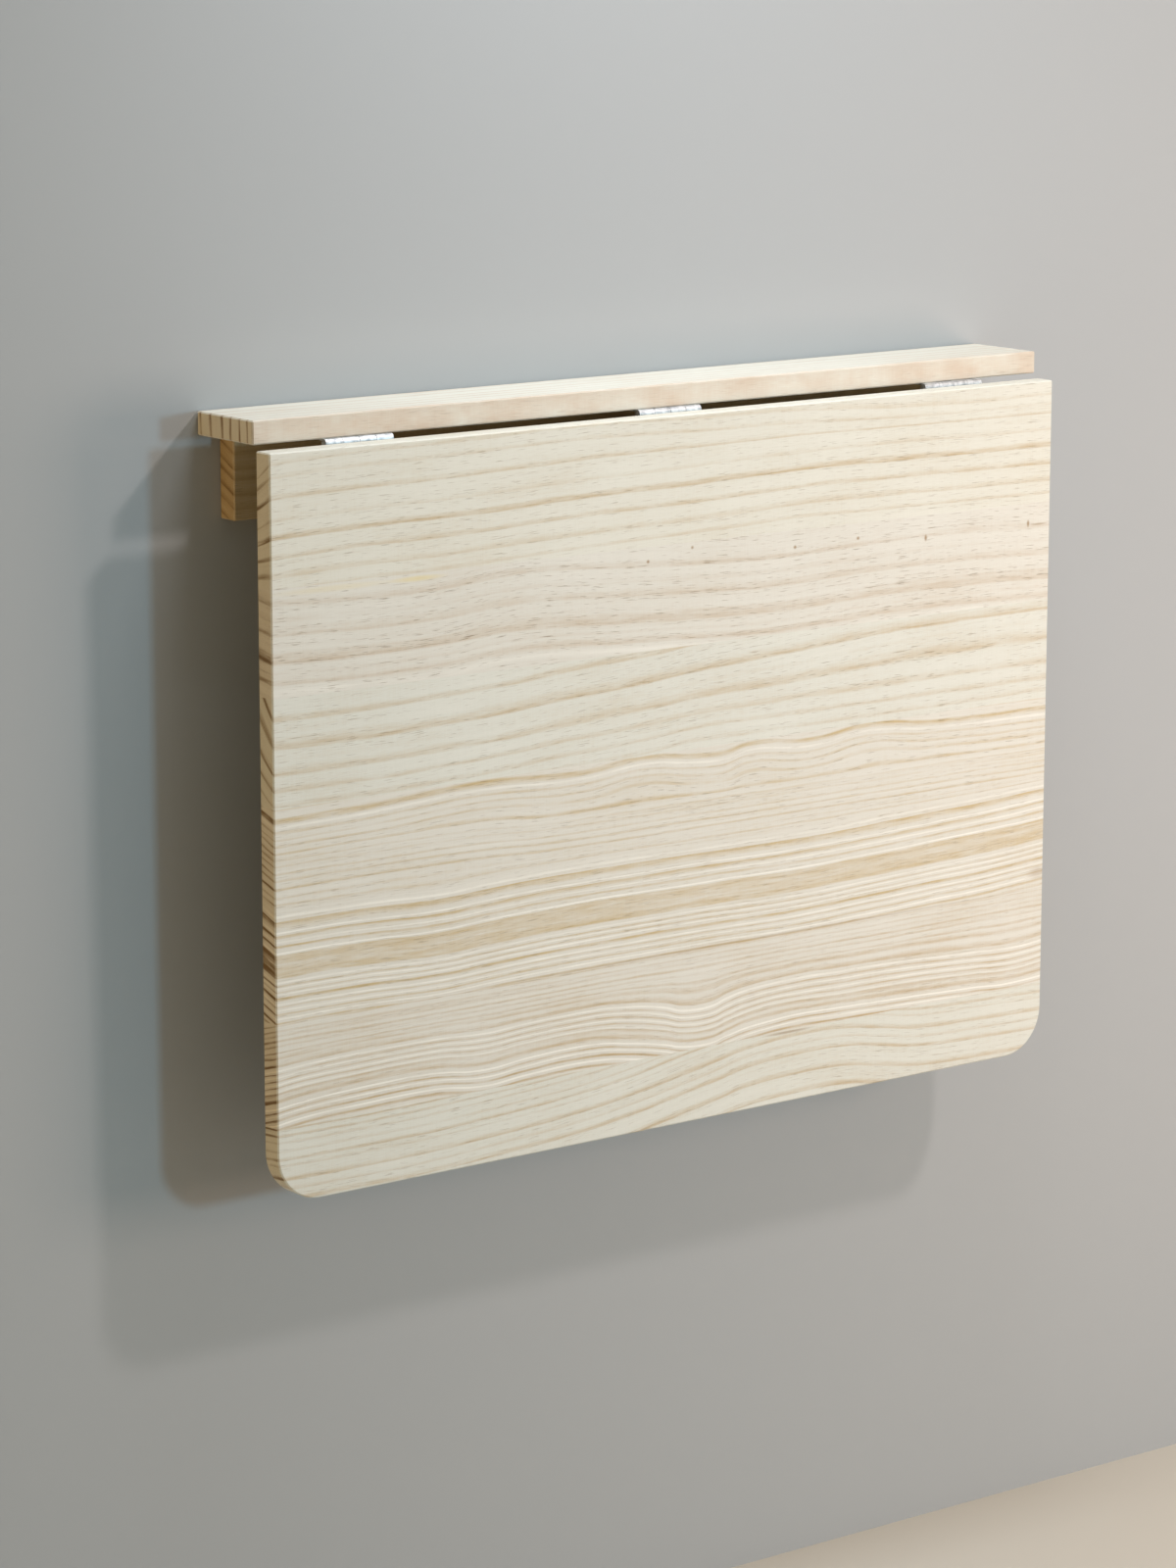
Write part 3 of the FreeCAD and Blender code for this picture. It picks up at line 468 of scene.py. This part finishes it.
# Sixth stave, at the free edge: rings that arch over the middle like a cathedral window.
SIXTH_RINGS = (
    (396.4, 0.5, 0.6, 0.5), (400.5, 1.2, 0.6, 0.4), (404.5, 1.2, 0.5, 0.2),
    (410, 1.5, 0.5, 0.2), (415, 2, 0.6, 0.45), (419, 1.5, 0.5, 0.2), (427, 3, 0.7, 0.5),
    (433, 2, 0.5, 0.25), (439.5, 3, 0.7, 0.5), (452, 3.5, 0.7, 0.5), (464, 3.5, 0.7, 0.5),
    (476, 3.5, 0.7, 0.5), (488, 3, 0.7, 0.5),
)
SIXTH_SHIFTS = (
    (((0, 0), (100, 0.5), (150, -1), (200, -3.5), (250, -8), (300, -16), (330, -21), (352, -25),
      (400, -27.5), (430, -26.5), (460, -22), (500, -16), (550, -14), (600, -12.5)),
     (370, 398, 900, 910)),
)
SIXTH_MARKS = ((385, 396.8, 20, 1.0, 0.6, KNOT_BROWN),)
clothe(["leaf_stave_6"], pine(
    "cathedral_pine", SIXTH_RINGS, SIXTH_SHIFTS, end_slope=-0.1, fine=0.22, canals=0.4,
    early=GREEN_CREAM, marks=SIXTH_MARKS,
))

# Rail board. The fixed shelf, one planed pine board glued and doweled to its batten. It is cut on
# the quarter, so that its rings stand upright in the ends and run as fine lines along the top. A
# band of latewood lies in its front face.
RAIL_TAN = "#C7AC93"
RAIL_FRONT = -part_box("rail_board")[0].y / MM
RAIL_RINGS = (
    *[(place, 2.5, 0.6, 0.42) for place in (-1.5, 4.5, 15.1, 27, 35.8, 45.1, 53)],
    (RAIL_FRONT, 1.5, 2.0, 0.45),
)
clothe(["rail_board"], pine(
    "rail_pine", RAIL_RINGS, end_slope=0.04, fine=0.1, canals=0.2, late=RAIL_TAN,
    axes=("X", "Y", "Z"), origin=(-LEAF_WIDTH / 2, 0.0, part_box("rail_board")[0].z / MM),
))

# Upper batten. A planed pine board, doweled under the back of the rail board and screwed to the
# wall. Its colours are darker and browner than the leaf's wood. This is painted shade for the dim
# channel behind the leaf and under the rail.
BATTEN_SHADED_CREAM, BATTEN_SHADED_TAN = "#C3AE88", "#A0855F"
BATTEN_RINGS = tuple((place, 3.0, 0.8, 0.3) for place in (3, 11, 20, 26, 35, 43, 52, 60))
batten_low, batten_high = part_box("wall_batten")
clothe(["wall_batten"], pine(
    "batten_pine_painted_shade", BATTEN_RINGS, end_slope=0.5, early=BATTEN_SHADED_CREAM, late=BATTEN_SHADED_TAN,
    origin=(-LEAF_WIDTH / 2, batten_high.z / MM, batten_low.y / MM),
))

# Lower wall frame, prop frame and catches. Straight-grained pine sticks, sanded but not finished,
# which look as pale and matt as the leaf, only plainer. The sticks are tenoned together, and the
# catches are glued to the leaf.
STICK_RINGS = tuple((place, 3.0, 0.8, 0.5) for place in (-21, -9, 2, 9, 19, 28, 40, 49, 61))
LYING, STANDING = ("X", "Z", "Y"), ("Z", "X", "Y")
STICKS = {
    "lower_batten": LYING, "prop_rail": LYING, "support_bar": LYING,
    "left_catch": LYING, "right_catch": LYING,
    "left_wall_stile": STANDING, "right_wall_stile": STANDING,
    "left_prop_stile": STANDING, "right_prop_stile": STANDING,
}
for name, axes in STICKS.items():
    low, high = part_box(name)
    zero = [getattr(corner, axis.lower()) / MM for corner, axis in zip((low, high, low), axes)]
    clothe([name], pine(f"{name}_pine", STICK_RINGS, end_slope=0.5, axes=axes, origin=zero))

# Dowels. Beech pins, turned and glued in between the rail board and its batten. Beech is denser
# than pine, and shows as an even pinkish tan.
BEECH, BEECH_RING = "#D8BF9C", "#C4A277"
clothe(["rail_dowels"], pine(
    "dowel_beech", STICK_RINGS, canals=0.1, early=BEECH, late=BEECH_RING, axes=STANDING,
    origin=(0, 0, 0),
))

# Hinges. Butt hinges pressed and rolled from steel strip with a wire pin, plated with bright
# zinc. It shines softly, with faint streaks along the strip and dull patches. Sizes are in mm.
ZINC, DULL_ZINC = "#DCDEE0", "#B4B7BA"
STREAK = (11.1, 1.11, 1.11)
PATCH = 3.85
PATCH_EDGE = (0.42, 0.68)
STREAK_RANGE = (0.3, 0.7)
STREAK_RELIEF, STREAK_BUMP = 0.03, 0.3


def bright_zinc(name, smooth, dull):
    """Bright zinc plating on steel, with the roughness of its smoothest and dullest places."""
    material, node, shader = new_material(name)
    place = node("TexCoord", out="Object")
    along_strip = node("Mapping", {
        "Vector": place, "Scale": [1 / (size * MM) for size in STREAK],
    })
    streak = node("TexNoise", {"Vector": along_strip, "Scale": 1.0, "Detail": 3.0})
    patch = node("TexNoise", {"Vector": place, "Scale": 1 / (PATCH * MM), "Detail": 2.0})
    colour = node("Mix", {
        0: node("MapRange", (patch, *PATCH_EDGE)), 6: linear(ZINC), 7: linear(DULL_ZINC),
    }, out=2, data_type="RGBA")
    shader.inputs["Metallic"].default_value = 1.0
    tree = material.node_tree
    tree.links.new(colour, shader.inputs["Base Color"])
    roughness = node("MapRange", (streak, *STREAK_RANGE, smooth, dull))
    tree.links.new(roughness, shader.inputs["Roughness"])
    relief = node(
        "Bump", {"Strength": STREAK_BUMP, "Distance": STREAK_RELIEF * MM, "Height": streak}
    )
    tree.links.new(relief, shader.inputs["Normal"])
    return material


clothe(
    [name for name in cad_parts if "hinge" in name and "screws" not in name],
    bright_zinc("hinge_zinc", 0.42, 0.64),
)

# Hinge screws. Countersunk wood screws with a cross recess, cold headed from steel wire and
# plated with bright zinc, smoother than the strip, so that they glint. Each row of screws goes
# through its hinge plates into the wood.
HEAD_RADIUS, SHANK_RADIUS = 2.6 * MM, 1.5 * MM
SCREW_SPREAD = 30 * MM
RECESS_REACH, RECESS_WIDTH, RECESS_DEPTH = 1.45 * MM, 0.55 * MM, 1.3 * MM
RECESS_TAPER = 0.45
AROUND = 24
UPWARD = Matrix.Identity(3)
INTO_LEAF = Matrix.Rotation(radians(90), 3, "X")
INTO_WALL = Matrix.Rotation(radians(-90), 3, "X")
screw_zinc = bright_zinc("screw_zinc", 0.18, 0.4)


def recess_outline(scale, height):
    """The twelve corners of a cross, at a height along the screw."""
    arm, half = RECESS_REACH * scale, RECESS_WIDTH / 2
    quarter = [(arm, -half), (arm, half), (half, half)]
    return [
        Vector((x * cos(turn) - y * sin(turn), x * sin(turn) + y * cos(turn), height))
        for turn in (0, pi / 2, pi, 3 * pi / 2)
        for x, y in quarter
    ]


def add_loop(mesh, points):
    """A closed ring of vertices joined by edges."""
    ring = [mesh.verts.new(point) for point in points]
    return ring, [mesh.edges.new(pair) for pair in zip(ring, ring[1:] + ring[:1])]


def add_screw(mesh, length, matrix):
    """One screw: its head at the origin, its point towards +Z."""
    rings = []
    for radius, height in (
        (HEAD_RADIUS, 0.0), (SHANK_RADIUS, HEAD_RADIUS - SHANK_RADIUS), (SHANK_RADIUS, length),
    ):
        turns = [2 * pi * step / AROUND for step in range(AROUND)]
        points = [Vector((radius * cos(turn), radius * sin(turn), height)) for turn in turns]
        rings.append(add_loop(mesh, points))
    mouth = add_loop(mesh, recess_outline(1.0, 0.0))
    floor = add_loop(mesh, recess_outline(RECESS_TAPER, RECESS_DEPTH))
    for (_, near), (_, far) in ((rings[0], rings[1]), (rings[1], rings[2]), (mouth, floor)):
        bmesh.ops.bridge_loops(mesh, edges=near + far)
    bmesh.ops.triangle_fill(mesh, edges=rings[0][1] + mouth[1], use_beauty=True)
    mesh.faces.new(rings[2][0])
    mesh.faces.new(floor[0])
    made = [vertex for ring, _ in (*rings, mouth, floor) for vertex in ring]
    bmesh.ops.transform(mesh, matrix=matrix, verts=made)


SCREW_ROWS = (
    ("rail_hinge_screws", "rail_plate", "wall_frame", UPWARD),
    ("leaf_hinge_screws", "leaf_plate", "drop_leaf", INTO_LEAF),
    ("batten_hinge_screws", "batten_plate", "wall_frame", INTO_WALL),
    ("prop_hinge_screws", "frame_plate", "prop_frame", INTO_WALL),
)
for row, plate_kind, body, turn in SCREW_ROWS:
    low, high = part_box(row)
    length = abs((turn.transposed() @ (high - low)).z)
    head = (low + high) / 2 - turn @ Vector((0, 0, length / 2))
    mesh = bmesh.new()
    for plate in [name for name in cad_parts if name.endswith(plate_kind)]:
        plate_low, plate_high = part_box(plate)
        for half in (-0.5, 0.5):
            head.x = (plate_low.x + plate_high.x) / 2 + half * SCREW_SPREAD
            add_screw(mesh, length, Matrix.Translation(head) @ turn.to_4x4())
    bmesh.ops.recalc_face_normals(mesh, faces=mesh.faces)
    data = bpy.data.meshes.new(f"{row}_headed")
    mesh.to_mesh(data)
    mesh.free()
    data.materials.append(screw_zinc)
    screws = bpy.data.objects.new(f"{row}_headed", data)
    scene.collection.objects.link(screws)
    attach(screws, body)
    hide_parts(row)
